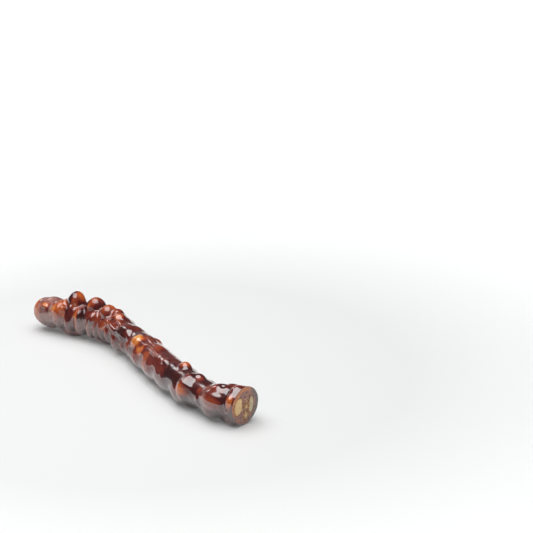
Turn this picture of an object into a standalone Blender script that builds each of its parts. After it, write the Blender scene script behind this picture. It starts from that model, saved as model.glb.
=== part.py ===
"""A stick of walnut kernels in a knobby grape jelly coat, lying on a table and cut through at one end.

The coat is a loft: rings along a gently bent middle line, whose radius is a soft maximum over rounded knobs.
Two rows of kernels and two broken chips run in from the cut, each in a pocket of its own in the coat.
Millimetres are used throughout and turned into metres when a mesh is made. +X runs to the cut, +Z is up.
"""
import math

import bmesh
import bpy
import numpy as np

MM = 0.001
OBJECT_NAME = "walnut_jelly_stick"

# Middle line: stations along the stick, sideways from its chord, and above the table.
MIDDLE_LINE = (
    (-1.0, -0.5, 12.4),
    (26.0, 10.5, 13.0),
    (52.0, 18.5, 13.0),
    (79.0, 15.5, 11.6),
    (110.0, 8.0, 11.0),
    (139.0, 0.5, 10.9),
    (165.0, -4.2, 10.9),
    (178.0, -5.2, 10.9),
    (190.0, -3.9, 11.0),
    (205.2, 0.7, 11.6),
)

# Core of the coat between its knobs: distance along the line, and radius.
CORE = (
    (0.0, 8.4),
    (24.0, 9.0),
    (38.0, 8.6),
    (48.0, 9.2),
    (66.0, 9.2),
    (88.0, 7.8),
    (104.0, 9.0),
    (150.0, 9.1),
    (168.0, 9.0),
    (180.0, 8.4),
    (189.0, 7.8),
    (200.0, 9.0),
    (204.8, 9.0),
    (208.5, 10.8),
    (213.5, 10.9),
)
TIP_LENGTH = 7.5            # rounded far end
CUT_TURN = -9.5             # degrees that the cut is turned from square
CUT_LEAN = 3.0              # degrees that the cut's foot is drawn back

# Knobs on the near side: distance along, degrees around from the side over the top, crest radius,
# half length, half width measured around the stick, and degrees that the long way leans.
KNOBS = (
    (3.0, 40.0, 8.2, 4.5, 6.0, 0.0),
    (11.0, 38.0, 10.0, 2.6, 2.8, 0.0),
    (14.0, 104.0, 9.7, 7.0, 6.4, 0.0),
    (9.0, -40.0, 9.5, 4.6, 12.0, 0.0),
    (13.0, -75.0, 10.6, 7.0, 8.0, 0.0),
    (22.0, 30.0, 11.0, 4.9, 12.0, 0.0),
    (25.6, 37.0, 11.6, 2.8, 4.2, 0.0),
    (21.5, -36.0, 10.5, 4.4, 13.0, 0.0),
    (25.0, 92.0, 10.4, 4.0, 6.0, 0.0),
    (30.8, 98.0, 15.8, 4.4, 7.6, 0.0),
    (30.5, 62.0, 10.6, 3.2, 8.0, 0.0),
    (30.0, -40.0, 11.8, 3.6, 12.0, 0.0),
    (38.5, 16.0, 11.9, 3.7, 9.0, 0.0),
    (38.5, -44.0, 12.0, 4.6, 12.0, 0.0),
    (46.5, 88.0, 14.7, 5.2, 7.2, -8.0),
    (50.5, 17.0, 12.2, 3.8, 9.0, 0.0),
    (47.5, -42.0, 12.6, 3.6, 12.0, 0.0),
    (53.5, -42.0, 12.4, 3.4, 12.0, 0.0),
    (58.8, 76.0, 13.3, 5.0, 7.8, 0.0),
    (64.5, 98.0, 11.7, 5.6, 6.4, 0.0),
    (60.5, -24.0, 11.6, 3.6, 13.0, 0.0),
    (72.0, 33.0, 11.3, 12.0, 3.8, -14.0),
    (68.0, -30.0, 11.0, 4.0, 11.0, 0.0),
    (70.0, 84.0, 11.2, 5.4, 6.4, 0.0),
    (77.0, 62.0, 11.0, 6.0, 3.2, -8.0),
    (78.5, -40.0, 11.8, 4.4, 12.0, 0.0),
    (86.0, 48.0, 10.5, 11.0, 11.0, 6.0),
    (90.0, 116.0, 8.9, 12.0, 8.0, 0.0),
    (89.0, -34.0, 10.0, 4.4, 12.0, 0.0),
    (98.0, -24.0, 9.6, 5.0, 12.0, 0.0),
    (106.0, 52.0, 11.2, 6.0, 7.4, 0.0),
    (108.0, 110.0, 9.3, 12.0, 8.0, 0.0),
    (110.0, -34.0, 10.5, 15.0, 13.0, 0.0),
    (126.0, 98.0, 9.7, 12.0, 8.0, 0.0),
    (129.0, -34.0, 10.8, 15.0, 13.0, 0.0),
    (148.0, -34.0, 10.8, 14.0, 13.0, 0.0),
    (146.5, 62.0, 10.5, 3.2, 4.0, 0.0),
    (161.0, 100.0, 11.8, 4.8, 5.4, 0.0),
    (167.0, -40.0, 11.5, 9.0, 12.0, 0.0),
    (174.0, 24.0, 11.4, 5.4, 15.0, 0.0),
    (176.5, 106.0, 9.9, 5.0, 6.0, 0.0),
    (188.0, -10.0, 8.9, 5.0, 8.0, 0.0),
    (197.5, 20.0, 11.6, 9.0, 9.5, 0.0),
    (199.5, 66.0, 11.3, 8.4, 9.5, 0.0),
    (203.0, 120.0, 10.8, 6.6, 6.8, 0.0),
    (195.0, -38.0, 11.0, 7.2, 8.4, 0.0),
    (209.2, 30.0, 12.1, 4.6, 8.0, 0.0),
    (209.6, 72.0, 12.1, 4.6, 8.0, 0.0),
    (208.0, -62.0, 12.2, 6.0, 6.0, 0.0),
)
# Knobs below, whose crests are pressed flat on the table: distance along, and how far each is pressed.
REST_KNOBS = ((29.0, 1.3), (57.0, 1.3), (96.0, 1.1), (130.0, 1.1), (172.0, 1.2), (204.0, 1.3))
REST_TURN = -90.0
REST_SIZE = (8.4, 8.0)      # half length and half width
KNOB_FALL = 3.0             # how far a knob's cap has fallen at its half length and half width
CREASE = 0.45               # rounding of the creases between knobs

# Knobs on the far side, drawn at even steps by a seeded rule.
BACK_SEED = 41
BACK_START, BACK_STEP, BACK_END = 9.0, 12.5, 203.0
BACK_LANES = (156.0, 198.0, 240.0)
BACK_SCATTER = 14.0         # degrees
BACK_STANDS = (1.3, 2.6)    # crest above the core
TOP_LANE_STANDS = 0.5       # share of that on the first lane
BACK_SIZE = (6.4, 6.0)      # half length and half width

COAT_RINGS = 84
COAT_SIDES = 28

# Kernel rows. Room is the coat's radius less the jelly over the kernels, and a row's sizes are shares of it.
JELLY_OVER_KERNELS = 1.5
ROW_STATIONS = (0.0, 22.0, 40.0, 60.0, 90.0, 110.0, 150.0, 178.0, 200.0, 213.0)
ROWS = {
    "walnut_row_near": {
        "start": 7.0,
        "turn": (30.0, 40.0, 8.0, 12.0, 34.0, 42.0, 20.0, 26.0, 12.0, 9.0),
        "half_thickness": (0.37,) * 8 + (0.39, 0.40),
        "half_height": (0.50,) * 8 + (0.56, 0.62),
        "from_middle": (0.63,) * 10,
    },
    "walnut_row_far": {
        "start": 13.0,
        "turn": (200.0, 208.0, 172.0, 176.0, 202.0, 210.0, 190.0, 196.0, 190.0, 186.0),
        "half_thickness": (0.37,) * 8 + (0.27, 0.24),
        "half_height": (0.50,) * 8 + (0.56, 0.60),
        "from_middle": (0.63,) * 8 + (0.54, 0.47),
    },
}
KERNEL_PITCH = 13.5
KERNEL_NECK = 0.74          # size of a row between two kernels, as a share of its size at a kernel
GAP = 0.3                   # around each kernel, in its pocket
ROW_RINGS = 48
ROW_SIDES = 10

# Broken bits between the rows: across and above the middle of the cut, half width, half height, depth.
CHIPS = {
    "walnut_chip_low": (0.0, -5.4, 1.5, 2.3, 8.0),
    "walnut_chip_high": (-0.5, -0.8, 1.4, 1.7, 6.0),
}
CHIP_SIDES = 8
CHIP_RINGS = 6

POCKET_OVERSHOOT = 3.0      # how far a pocket's cutter reaches out past the cut

COAT_COLOUR = (0.045, 0.008, 0.005, 1.0)
WALNUT_COLOUR = (0.56, 0.42, 0.22, 1.0)


def smooth_line(stations, per_span=40):
    """Catmull-Rom curve through the stations."""
    points = np.array(stations)
    points = np.vstack([2 * points[0] - points[1], points, 2 * points[-1] - points[-2]])
    before, start, end, after = points[:-3, None], points[1:-2, None], points[2:-1, None], points[3:, None]
    share = np.linspace(0.0, 1.0, per_span, endpoint=False)[None, :, None]
    curve = 0.5 * (
        2 * start
        + (end - before) * share
        + (2 * before - 5 * start + 4 * end - after) * share**2
        + (3 * start - before - 3 * end + after) * share**3
    )
    return np.vstack([curve.reshape(-1, points.shape[1]), points[-2]])


LINE = smooth_line(MIDDLE_LINE)
LINE_ALONG = np.concatenate([[0.0], np.cumsum(np.linalg.norm(np.diff(LINE, axis=0), axis=1))])
LENGTH = LINE_ALONG[-1]


def frame_at(along):
    """Point, direction, near side and upward direction of the middle line at each distance along it."""
    step = 1.5
    point = np.stack([np.interp(along, LINE_ALONG, LINE[:, axis]) for axis in range(3)], axis=-1)
    low = np.clip(along - step, 0.0, LENGTH)
    high = np.clip(along + step, 0.0, LENGTH)
    ends = [[np.interp(end, LINE_ALONG, LINE[:, axis]) for axis in range(3)] for end in (low, high)]
    ahead = np.stack(ends[1], axis=-1) - np.stack(ends[0], axis=-1)
    ahead /= np.linalg.norm(ahead, axis=-1, keepdims=True)
    side = np.cross(ahead, (0.0, 0.0, 1.0))
    side /= np.linalg.norm(side, axis=-1, keepdims=True)
    return point, ahead, side, np.cross(side, ahead)


def place(along, across, above):
    """Carry a point of the straight stick, given along, across and above its middle, onto the bent line."""
    inside = np.clip(along, 0.0, LENGTH)
    point, ahead, side, up = frame_at(inside)
    return point + ahead * (along - inside)[..., None] + side * across[..., None] + up * above[..., None]


def all_knobs():
    """The knobs on the near side, those that the stick rests on, and lanes of seeded ones on the far side."""
    rng = np.random.default_rng(BACK_SEED)
    knobs = list(KNOBS)
    for middle, pressed in REST_KNOBS:
        height = np.interp(middle, LINE_ALONG, LINE[:, 2])
        knobs.append((middle, REST_TURN, height + pressed, *REST_SIZE, 0.0))
    stations, radii = zip(*CORE)
    for lane_index, lane in enumerate(BACK_LANES):
        along = BACK_START + BACK_STEP * 0.5 * (lane_index % 2)
        while along < BACK_END:
            middle = along + rng.uniform(-0.2, 0.2) * BACK_STEP
            stands = rng.uniform(*BACK_STANDS) * (TOP_LANE_STANDS if lane_index == 0 else 1.0)
            crest = np.interp(middle, stations, radii) + stands
            turn = lane + rng.uniform(-1.0, 1.0) * BACK_SCATTER
            size = rng.uniform(0.85, 1.15)
            knobs.append((middle, turn, crest, BACK_SIZE[0] * size, BACK_SIZE[1] * size, 0.0))
            along += BACK_STEP
    return np.array(knobs)


def coat_radius(along, around):
    """Soft maximum of the core's radius and a rounded cap for each knob, drawn in at the far tip."""
    stations, radii = zip(*CORE)
    total = np.exp(np.interp(along, stations, radii) / CREASE)
    for middle, turn, crest, half_length, half_width, lean in all_knobs():
        off_along = along - middle
        off_around = np.radians((around - turn + 180.0) % 360.0 - 180.0) * crest
        cosine, sine = math.cos(math.radians(lean)), math.sin(math.radians(lean))
        lengthwise = (off_along * cosine + off_around * sine) / half_length
        widthwise = (off_around * cosine - off_along * sine) / half_width
        cap = crest - KNOB_FALL * (lengthwise**2 + widthwise**2)
        total = total + np.exp(cap / CREASE)
    radius = CREASE * np.log(total)
    inward = np.clip(1.0 - along / TIP_LENGTH, 0.0, 1.0)
    return radius * np.sqrt(1.0 - inward**2)


def lean_of_cut(along, across, above):
    """How far a point near the end slides along the stick, so that the last ring lies on the slanting cut."""
    share = np.clip((along - LENGTH + 12.0) / 12.0, 0.0, 1.0)
    slide = math.tan(math.radians(CUT_TURN)) * across + math.tan(math.radians(CUT_LEAN)) * above
    return slide * share**2


def loft(along, across, above):
    """Vertices and faces of a closed loft: a point at the inner tip, rings of equal sides, and a flat end."""
    rings, sides = along.shape
    points = place(along + lean_of_cut(along, across, above), across, above)
    tip, end_middle = points[0].mean(axis=0)[None], points[-1].mean(axis=0)[None]
    verts = np.vstack([tip, points[1:].reshape(-1, 3), end_middle])
    last_ring = 1 + (rings - 2) * sides
    end = last_ring + sides
    faces = []
    for k in range(sides):
        following = (k + 1) % sides
        faces.append((0, 1 + following, 1 + k))
        faces.append((last_ring + k, last_ring + following, end))
        for base in range(1, last_ring, sides):
            faces.append((base + k, base + following, base + sides + following, base + sides + k))
    return verts, faces


def coat_shape():
    """Rings close together at the rounded tip and even after it; what would sink into the table is flat."""
    tip_rings = 6
    tip = TIP_LENGTH * (1.0 - np.cos(np.linspace(0.0, np.pi / 2, tip_rings)))
    body = np.linspace(TIP_LENGTH, LENGTH, COAT_RINGS - tip_rings + 1)[1:]
    along = np.concatenate([tip, body])[:, None]
    around = np.arange(COAT_SIDES)[None, :] * 360.0 / COAT_SIDES
    along, around = np.broadcast_arrays(along, around)
    radius = coat_radius(along, around)
    across = radius * np.cos(np.radians(around))
    above = radius * np.sin(np.radians(around))
    verts, faces = loft(along, across, above)
    verts[:, 2] = np.maximum(verts[:, 2], 0.0)
    return verts, faces


def inset_rings(start, count, grow, overshoot):
    """Stations from a rounded inner end to the cut; a pocket starts a gap earlier and runs past the cut."""
    along = np.linspace(start, LENGTH, count)
    along[0] -= grow
    if overshoot:
        along = np.append(along, LENGTH + overshoot)
    return along[:, None]


def row_shape(row, grow=0.0, overshoot=0.0):
    """A string of kernels: an oval tube that swells at each one, round at its far end and flat at the cut."""
    start = row["start"]
    along = inset_rings(start, ROW_RINGS, grow, overshoot)
    around = np.arange(ROW_SIDES)[None, :] * 2 * np.pi / ROW_SIDES
    along, around = np.broadcast_arrays(along, around)
    beside = np.clip(along, start, LENGTH)
    turn = np.interp(beside, ROW_STATIONS, row["turn"])
    half = np.interp(beside, ROW_STATIONS, row["half_thickness"])
    tall = np.interp(beside, ROW_STATIONS, row["half_height"])
    middle = np.interp(beside, ROW_STATIONS, row["from_middle"])
    skin = [coat_radius(beside, turn + swing) for swing in (-20.0, 0.0, 20.0)]
    room = np.min(skin, axis=0) - JELLY_OVER_KERNELS
    swell = KERNEL_NECK + (1 - KERNEL_NECK) * np.abs(np.cos(np.pi * (LENGTH - beside) / KERNEL_PITCH))
    inward = np.clip(1.0 - (beside - start) / (0.5 * KERNEL_PITCH), 0.0, 1.0)
    size = room * swell * np.sqrt(1.0 - inward**2)
    outward = (half * size + grow) * np.cos(around)
    sideways = (tall * size + grow) * np.sin(around)
    outward[0] = sideways[0] = 0.0
    cosine, sine = np.cos(np.radians(turn)), np.sin(np.radians(turn))
    across = (middle * room + outward) * cosine - sideways * sine
    above = (middle * room + outward) * sine + sideways * cosine
    return loft(along, across, above)


def chip_shape(chip, grow=0.0, overshoot=0.0):
    """A broken bit of kernel in the cut: an oval that tapers inwards to a point."""
    centre_across, centre_above, half_width, half_height, depth = chip
    along = inset_rings(LENGTH - depth, CHIP_RINGS, grow, overshoot)
    around = np.arange(CHIP_SIDES)[None, :] * 2 * np.pi / CHIP_SIDES
    along, around = np.broadcast_arrays(along, around)
    inward = np.clip((LENGTH - along) / depth, 0.0, 1.0)
    size = np.sqrt(1.0 - inward**2)
    across = (half_width * size + grow) * np.cos(around)
    above = (half_height * size + grow) * np.sin(around)
    across[0] = above[0] = 0.0
    return loft(along, across + centre_across, above + centre_above)


def make_object(name, shape, shift, collection):
    """Mesh object from vertices in millimetres, with its faces outwards and its sides shaded smooth."""
    verts, faces = shape
    mesh = bpy.data.meshes.new(name)
    mesh.from_pydata(((verts + shift) * MM).tolist(), [], faces)
    shell = bmesh.new()
    shell.from_mesh(mesh)
    bmesh.ops.recalc_face_normals(shell, faces=shell.faces)
    shell.to_mesh(mesh)
    shell.free()
    mesh.shade_smooth()
    mesh.set_sharp_from_angle(angle=math.radians(60.0))
    piece = bpy.data.objects.new(name, mesh)
    collection.objects.link(piece)
    return piece


def make_material(name, colour, roughness):
    """Principled surface of one colour."""
    material = bpy.data.materials.new(name)
    material.use_nodes = True
    surface = material.node_tree.nodes["Principled BSDF"]
    surface.inputs["Base Color"].default_value = colour
    surface.inputs["Roughness"].default_value = roughness
    surface.inputs["Metallic"].default_value = 0.0
    material.diffuse_color = colour
    return material


def cut_pocket(coat, name, shape, shift, cutters):
    """Take a kernel's pocket out of the coat, open at the cut."""
    cutter = make_object(name, shape, shift, cutters)
    cutter.hide_render = True
    cutter.display_type = "WIRE"
    pocket = coat.modifiers.new(name, "BOOLEAN")
    pocket.operation = "DIFFERENCE"
    pocket.solver = "EXACT"
    pocket.object = cutter


def main():
    for old in list(bpy.data.objects):
        bpy.data.objects.remove(old, do_unlink=True)
    parts = bpy.data.collections.new(OBJECT_NAME)
    cutters = bpy.data.collections.new("pocket_cutters")
    for collection in (parts, cutters):
        bpy.context.scene.collection.children.link(collection)

    coat_verts, coat_faces = coat_shape()
    middle = (coat_verts.min(axis=0) + coat_verts.max(axis=0)) / 2
    shift = np.array([-middle[0], -middle[1], 0.0])

    jelly = make_material("grape_jelly", COAT_COLOUR, 0.12)
    walnut = make_material("walnut_kernel", WALNUT_COLOUR, 0.6)

    coat = make_object("jelly_coat", (coat_verts, coat_faces), shift, parts)
    coat.data.materials.append(jelly)

    reach = {"grow": GAP, "overshoot": POCKET_OVERSHOOT}
    kernels = {name: (row_shape(row), row_shape(row, **reach)) for name, row in ROWS.items()}
    kernels.update({name: (chip_shape(chip), chip_shape(chip, **reach)) for name, chip in CHIPS.items()})
    for name, (shape, pocket) in kernels.items():
        piece = make_object(name, shape, shift, parts)
        piece.data.materials.append(walnut)
        cut_pocket(coat, name + "_pocket", pocket, shift, cutters)


main()
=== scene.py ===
# A stick of walnut kernels in knobby grape jelly, cut through at one end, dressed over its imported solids
import math

import bmesh
import bpy
import numpy as np
from mathutils import Matrix, Vector


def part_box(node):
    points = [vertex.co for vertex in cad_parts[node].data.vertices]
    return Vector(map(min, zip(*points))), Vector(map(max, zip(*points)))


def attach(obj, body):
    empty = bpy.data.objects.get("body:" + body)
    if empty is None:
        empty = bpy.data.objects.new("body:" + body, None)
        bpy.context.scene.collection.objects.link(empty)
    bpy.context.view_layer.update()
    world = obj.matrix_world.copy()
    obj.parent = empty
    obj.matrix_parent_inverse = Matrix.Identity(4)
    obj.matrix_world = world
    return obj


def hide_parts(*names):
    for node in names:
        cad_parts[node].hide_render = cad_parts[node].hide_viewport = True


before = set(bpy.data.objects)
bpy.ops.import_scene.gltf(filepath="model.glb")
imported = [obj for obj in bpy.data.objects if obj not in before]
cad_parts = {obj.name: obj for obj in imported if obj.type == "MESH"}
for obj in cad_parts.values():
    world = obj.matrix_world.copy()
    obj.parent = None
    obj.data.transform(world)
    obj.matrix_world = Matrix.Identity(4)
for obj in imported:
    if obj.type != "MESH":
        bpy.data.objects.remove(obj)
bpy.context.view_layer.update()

mm = 0.001
bpy.context.scene.view_settings.view_transform = "Standard"  # plain colours, not a film look

# The stick's form, in mm: its bent middle line (along, sideways, height) and its core between the knobs
# (along, radius)
stick = {
    "line": [(-1, -0.5, 12.4), (26, 10.5, 13), (52, 18.5, 13), (79, 15.5, 11.6), (110, 8, 11),
             (139, 0.5, 10.9), (165, -4.2, 10.9), (178, -5.2, 10.9), (190, -3.9, 11), (205.2, 0.7, 11.6)],
    "core": [(0, 8.4), (24, 9.0), (38, 8.6), (48, 9.2), (66, 9.2), (88, 7.8), (104, 9.0), (150, 9.1),
             (168, 9.0), (180, 8.4), (189, 7.8), (200, 9.0), (204.8, 9.0), (208.5, 10.8), (213.5, 10.9)],
    "tipLength": 7.5,      # rounded far end
    "cutTurn": -9.5,       # degrees off square
    "cutLean": 3.0,        # degrees that the cut's foot is drawn back
    "cutReach": 12.0,      # length over which the skin follows the turn and lean of the cut
    "knobFall": 3.0,       # how far a knob's cap has fallen at its half length and half width
    "crease": 0.45,        # softness of the creases between knobs
}

# Knobs that face the viewer: along, degrees around from the near side over the top, crest radius,
# half length, half width, lean of the long way in degrees
nearKnobs = [
    (3, 40, 8.2, 4.5, 6.0, 0), (11, 38, 10.0, 2.6, 2.8, 0), (14, 104, 9.7, 7.0, 6.4, 0),
    (9, -40, 9.5, 4.6, 12.0, 0), (13, -75, 10.6, 7.0, 8.0, 0), (22, 30, 11.0, 4.9, 12.0, 0),
    (25.6, 37, 11.6, 2.8, 4.2, 0), (21.5, -36, 10.5, 4.4, 13.0, 0), (25, 92, 10.4, 4.0, 6.0, 0),
    (30.8, 98, 15.8, 4.4, 7.6, 0), (30.5, 62, 10.6, 3.2, 8.0, 0), (30, -40, 11.8, 3.6, 12.0, 0),
    (38.5, 16, 11.9, 3.7, 9.0, 0), (38.5, -44, 12.0, 4.6, 12.0, 0), (46.5, 88, 14.7, 5.2, 7.2, -8),
    (50.5, 17, 12.2, 3.8, 9.0, 0), (47.5, -42, 12.6, 3.6, 12.0, 0), (53.5, -42, 12.4, 3.4, 12.0, 0),
    (58.8, 76, 13.3, 5.0, 7.8, 0), (64.5, 98, 11.7, 5.6, 6.4, 0), (60.5, -24, 11.6, 3.6, 13.0, 0),
    (72, 33, 11.3, 12.0, 3.8, -14), (68, -30, 11.0, 4.0, 11.0, 0), (70, 84, 11.2, 5.4, 6.4, 0),
    (77, 62, 11.0, 6.0, 3.2, -8), (78.5, -40, 11.8, 4.4, 12.0, 0), (86, 48, 10.5, 11.0, 11.0, 6),
    (90, 116, 8.9, 12.0, 8.0, 0), (89, -34, 10.0, 4.4, 12.0, 0), (98, -24, 9.6, 5.0, 12.0, 0),
    (106, 52, 11.2, 6.0, 7.4, 0), (108, 110, 9.3, 12.0, 8.0, 0), (110, -34, 10.5, 15.0, 13.0, 0),
    (126, 98, 9.7, 12.0, 8.0, 0), (129, -34, 10.8, 15.0, 13.0, 0),
    (148, -34, 10.8, 14.0, 13.0, 0), (146.5, 62, 10.5, 3.2, 4.0, 0), (161, 100, 11.8, 4.8, 5.4, 0),
    (167, -40, 11.5, 9.0, 12.0, 0), (174, 24, 11.4, 5.4, 15.0, 0),
    (176.5, 106, 9.9, 5.0, 6.0, 0), (188, -10, 8.9, 5.0, 8.0, 0), (197.5, 20, 11.6, 9.0, 9.5, 0),
    (199.5, 66, 11.3, 8.4, 9.5, 0), (203, 120, 10.8, 6.6, 6.8, 0), (195, -38, 11.0, 7.2, 8.4, 0),
    (209.2, 30, 12.1, 4.6, 8.0, 0), (209.6, 72, 12.1, 4.6, 8.0, 0), (208, -62, 12.2, 6.0, 6.0, 0),
]
# Knobs that the stick rests on: along, how far they are pressed flat; and their half length and half width
restKnobs = [(29, 1.3), (57, 1.3), (96, 1.1), (130, 1.1), (172, 1.2), (204, 1.3)]
restSize = (8.4, 8.0)
# Unseen knobs of the far side, in lanes around the stick
farKnobs = {"seed": 41, "start": 9.0, "step": 12.5, "lanes": (156.0, 198.0, 240.0), "scatter": 14.0,
            "stands": (1.3, 2.6), "end": 203.0, "topStands": 0.5}


def smoothLine(stations, perSpan=40):
    # Catmull-Rom: each span is the cubic that leaves and meets its stations in line with their neighbours
    p = np.array(stations, float)
    p = np.vstack([2 * p[0] - p[1], p, 2 * p[-1] - p[-2]])
    a, b, c, d = p[:-3, None], p[1:-2, None], p[2:-1, None], p[3:, None]
    t = np.linspace(0, 1, perSpan, endpoint=False)[None, :, None]
    curve = 2 * b + (c - a) * t + (2 * a - 5 * b + 4 * c - d) * t**2 + (3 * b - a - 3 * c + d) * t**3
    return np.vstack([0.5 * curve.reshape(-1, p.shape[1]), p[-2]])


line = smoothLine(stick["line"])
lineAlong = np.concatenate([[0], np.cumsum(np.linalg.norm(np.diff(line, axis=0), axis=1))])
stickLength = lineAlong[-1]
coreAlong, coreRadius = (np.array(v, float) for v in zip(*stick["core"]))


def frameAt(along, step=1.5):
    # point on the line, the direction between the points one step each way, and the sides square to it
    def at(s):
        return np.stack([np.interp(s, lineAlong, line[:, k]) for k in range(3)], axis=-1)
    ahead = at(np.clip(along + step, 0, stickLength)) - at(np.clip(along - step, 0, stickLength))
    ahead /= np.linalg.norm(ahead, axis=-1, keepdims=True)
    side = np.cross(ahead, (0.0, 0.0, 1.0))
    side /= np.linalg.norm(side, axis=-1, keepdims=True)
    return at(along), ahead, side, np.cross(side, ahead)


def placeOnLine(along, across, above):
    # line point + ahead x distance past the line's end + side x across + up x above
    inside = np.clip(along, 0, stickLength)
    point, ahead, side, up = frameAt(inside)
    return point + ahead * (along - inside)[..., None] + side * across[..., None] + up * above[..., None]


def allKnobs():
    # near knobs, knobs pressed on the table, and three lanes of seeded ones on the far side
    rng = np.random.default_rng(farKnobs["seed"])
    knobs = list(nearKnobs)
    for middle, pressed in restKnobs:
        knobs.append((middle, -90.0, np.interp(middle, lineAlong, line[:, 2]) + pressed, *restSize, 0.0))
    for laneIndex, lane in enumerate(farKnobs["lanes"]):
        along = farKnobs["start"] + farKnobs["step"] * 0.5 * (laneIndex % 2)
        while along < farKnobs["end"]:
            middle = along + rng.uniform(-0.2, 0.2) * farKnobs["step"]
            stands = rng.uniform(*farKnobs["stands"]) * (farKnobs["topStands"] if laneIndex == 0 else 1.0)
            crest = np.interp(middle, coreAlong, coreRadius) + stands
            turn = lane + rng.uniform(-1.0, 1.0) * farKnobs["scatter"]
            size = rng.uniform(0.85, 1.15)
            knobs.append((middle, turn, crest, 6.4 * size, 6.0 * size, 0.0))
            along += farKnobs["step"]
    return np.array(knobs, float)


knobs = allKnobs()


def turnedFrom(around, turn):
    # difference of two angles in degrees, from -180 to 180
    return (around - turn + 180.0) % 360.0 - 180.0


def coatRadius(along, around):
    # soft maximum, crease x log of the sum of exp(height / crease), of the core and a rounded cap per knob;
    # times sqrt(1 - inward^2) over the rounded far end
    total = np.exp(np.interp(along, coreAlong, coreRadius) / stick["crease"])
    for middle, turn, crest, halfLength, halfWidth, lean in knobs:
        x, y = along - middle, np.radians(turnedFrom(around, turn)) * crest
        c, s = math.cos(math.radians(lean)), math.sin(math.radians(lean))
        fall = ((x * c + y * s) / halfLength) ** 2 + ((y * c - x * s) / halfWidth) ** 2
        total = total + np.exp((crest - stick["knobFall"] * fall) / stick["crease"])
    inward = np.clip(1 - along / stick["tipLength"], 0, 1)
    return stick["crease"] * np.log(total) * np.sqrt(1 - inward**2)


def crossSection(radius, around):
    # across and above, radius x cos and radius x sin of the angle around
    turn = np.radians(around)
    return radius * np.cos(turn), radius * np.sin(turn)


def leanOfCut(along, across, above):
    # the end slides along by across x tan(cut turn) + above x tan(cut lean), rising as a square
    turn, lean = (math.tan(math.radians(stick[name])) for name in ("cutTurn", "cutLean"))
    share = np.clip(1 - (stickLength - along) / stick["cutReach"], 0, 1)
    return (turn * across + lean * above) * share**2


# Centre the form as the solids are centred: middle of the coat's bounds at the origin
ringAlong, ringAround = np.meshgrid(np.linspace(0, stickLength, 240), np.arange(0, 360, 5.0), indexing="ij")
ringAcross, ringAbove = crossSection(coatRadius(ringAlong, ringAround), ringAround)
outline = placeOnLine(ringAlong + leanOfCut(ringAlong, ringAcross, ringAbove), ringAcross, ringAbove)
coatLow, coatHigh = (np.array(corner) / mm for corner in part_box("jelly_coat"))
shift = (coatLow + coatHigh) / 2 - (outline.min(axis=(0, 1)) + outline.max(axis=(0, 1))) / 2
shift[2] = 0.0
print("form ready: length %.1f mm, shift %.2f %.2f" % (stickLength, shift[0], shift[1]))


def smoothNoise(x, y, z, seed=0):
    # value noise: hashed lattice values from -1 to 1, blended along each axis by 3t^2 - 2t^3
    def lattice(i, j, k):
        h = (i * 374761393 + j * 668265263 + k * 2147483647 + seed * 974711) & 0xFFFFFFFF
        h = ((h ^ (h >> 13)) * 1274126177) & 0xFFFFFFFF
        return ((h ^ (h >> 16)) & 0xFFFF) / 32767.5 - 1.0
    cell = [np.floor(v).astype(np.int64) for v in (x, y, z)]
    fx, fy, fz = ((v - c) ** 2 * (3 - 2 * (v - c)) for v, c in zip((x, y, z), cell))
    total = 0.0
    for di, wx in ((0, 1 - fx), (1, fx)):
        for dj, wy in ((0, 1 - fy), (1, fy)):
            for dk, wz in ((0, 1 - fz), (1, fz)):
                total = total + wx * wy * wz * lattice(cell[0] + di, cell[1] + dj, cell[2] + dk)
    return total


def smoothStep(low, high, value):
    # 0 up to low, 1 from high on, 3t^2 - 2t^3 between
    t = np.clip((value - low) / (high - low), 0, 1)
    return t * t * (3 - 2 * t)


def pieceOf(name, verts, faces):
    # smooth mesh of points in mm, moved by the shift that centres the stick
    mesh = bpy.data.meshes.new(name)
    mesh.from_pydata(((verts + shift) * mm).tolist(), [], faces)
    mesh.update()
    mesh.shade_smooth()
    piece = bpy.data.objects.new(name, mesh)
    bpy.context.scene.collection.objects.link(piece)
    return piece


def meshFromGrid(name, rings, closeStart, closeEnd):
    # rings: array (ring, side, xyz) in mm; quads join neighbours, and a fan closes an end on its mean point
    count, sides = rings.shape[:2]
    verts = rings.reshape(-1, 3)
    base = (np.arange(count - 1)[:, None] * sides + np.arange(sides)[None, :]).ravel()
    after = (np.arange(count - 1)[:, None] * sides + (np.arange(sides)[None, :] + 1) % sides).ravel()
    quads = np.stack([base, base + sides, after + sides, after], axis=1)
    fans = []
    k = np.arange(sides)
    if closeStart:
        verts = np.vstack([verts, rings[0].mean(axis=0)])
        fans.append(np.stack([np.full(sides, len(verts) - 1), k, (k + 1) % sides], axis=1))
    if closeEnd:
        verts = np.vstack([verts, rings[-1].mean(axis=0)])
        last = (count - 1) * sides
        fans.append(np.stack([last + (k + 1) % sides, last + k, np.full(sides, len(verts) - 1)], axis=1))
    return pieceOf(name, verts, sum([quads.tolist()] + [f.tolist() for f in fans], []))


def keepValues(piece, name, values):
    # one number per vertex, for the materials to read
    attribute = piece.data.attributes.new(name, "FLOAT", "POINT")
    attribute.data.foreach_set("value", np.asarray(values, np.float32).ravel())


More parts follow.
